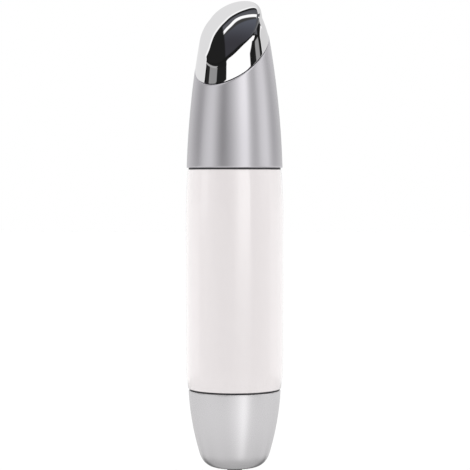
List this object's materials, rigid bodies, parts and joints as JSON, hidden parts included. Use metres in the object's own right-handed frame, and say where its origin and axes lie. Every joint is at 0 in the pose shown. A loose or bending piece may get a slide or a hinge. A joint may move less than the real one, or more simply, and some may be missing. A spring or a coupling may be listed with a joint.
{
  "type": "heated eye massager wand",
  "caption": "Slim pen-shaped warming massage wand: slanted mirror-metal head in a silver sleeve, plain white grip, screw-off silver tail cap with an end button.",
  "frame": {"origin": "centre of the straight cylindrical grip, on the wand's axis", "axes": "+Z along the wand's axis towards the massage head, -Y towards the picture's viewer, +X to the viewer's right"},
  "size_m": [0.0242, 0.0242, 0.1192],
  "materials": {
    "mirror_chrome": "mirror polished",
    "satin_silver": "satin",
    "satin_silver_tail": "satin",
    "gloss_white": "glossy",
    "dark_gasket": "matt",
    "dark_button": "soft matt",
    "black_plastic": "fine texture",
    "ivory_plastic": "fine texture",
    "nylon": "smooth",
    "amber_film": "glossy film",
    "grey_foam": "matt",
    "sensor_glass": "glassy coating",
    "bright_steel": "bright",
    "ferrite": "matt",
    "bronze": "sintered",
    "copper_winding": "wound and varnished",
    "tungsten": "sintered",
    "board_green": "lacquered",
    "chip_black": "moulded",
    "capacitor_can": "bright",
    "spring_brass": "bright",
    "cell_can": "nickel plated",
    "cell_film": "glossy film",
    "lead_red": "smooth",
    "lead_white": "smooth",
    "nickel_ring": "nickel plated"
  },
  "bodies": {
    "barrel": {"massage_tip": "mirror_chrome", "heater_film": "amber_film", "heater_pad": "grey_foam", "thermistor": "sensor_glass", "tip_carrier": "black_plastic", "upper_sleeve": "satin_silver", "upper_seam_ring": "dark_gasket", "main_barrel": "gloss_white", "motor_can": "bright_steel", "motor_magnet": "ferrite", "motor_endcap": "ivory_plastic", "motor_bearing": "bronze", "motor_boot": "grey_foam", "motor_bulkhead": "black_plastic", "board_carrier": "ivory_plastic", "circuit_board": "board_green", "controller_chip": "chip_black", "boost_coil": "ferrite", "capacitor": "capacitor_can", "transistor": "chip_black", "board_resistors": "chip_black", "board_screws": "bright_steel", "positive_contact": "spring_brass", "cell_holder": "ivory_plastic", "return_strip": "spring_brass", "battery_can": "cell_can", "battery_wrap": "cell_film", "motor_leads": "lead_red", "heater_leads": "lead_white", "thread_ring": "nickel_ring"},
    "rotor": {"motor_rotor": "copper_winding", "motor_shaft": "bright_steel", "eccentric_weight": "tungsten"},
    "cap_seal": {"tail_seal_ring": "dark_gasket"},
    "tail_cap": {"tail_cap": "satin_silver_tail", "tail_spring": "bright_steel", "switch_retainer": "spring_brass", "switch_contact": "spring_brass", "switch_body": "black_plastic", "button_spring": "bright_steel"},
    "button": {"tail_button": "dark_button", "switch_plunger": "nylon"}
  },
  "joints": [
    {"name": "rotor_spin", "type": "hinge", "parent": "barrel", "child": "rotor", "pos_m": [0, 0, 0.042], "axis": [0, 0, 1], "continuous": true},
    {"name": "cap_twist", "type": "hinge", "parent": "barrel", "child": "cap_seal", "pos_m": [0, 0, -0.0245], "axis": [0, 0, -1], "range_deg": [0, 1260]},
    {"name": "cap_travel", "type": "slide", "parent": "cap_seal", "child": "tail_cap", "axis": [0, 0, -1], "range_m": [0, 0.007]},
    {"name": "button_press", "type": "slide", "parent": "tail_cap", "child": "button", "axis": [0, 0, 1], "range_m": [0, 0.001], "stiffness_N_per_m": 600, "springref_m": -0.0002, "deforming": ["button_spring"]}
  ],
  "couplings": [
    {"joint": "cap_travel", "follows": "cap_twist", "m_per_rad": 0.0003183}
  ]
}
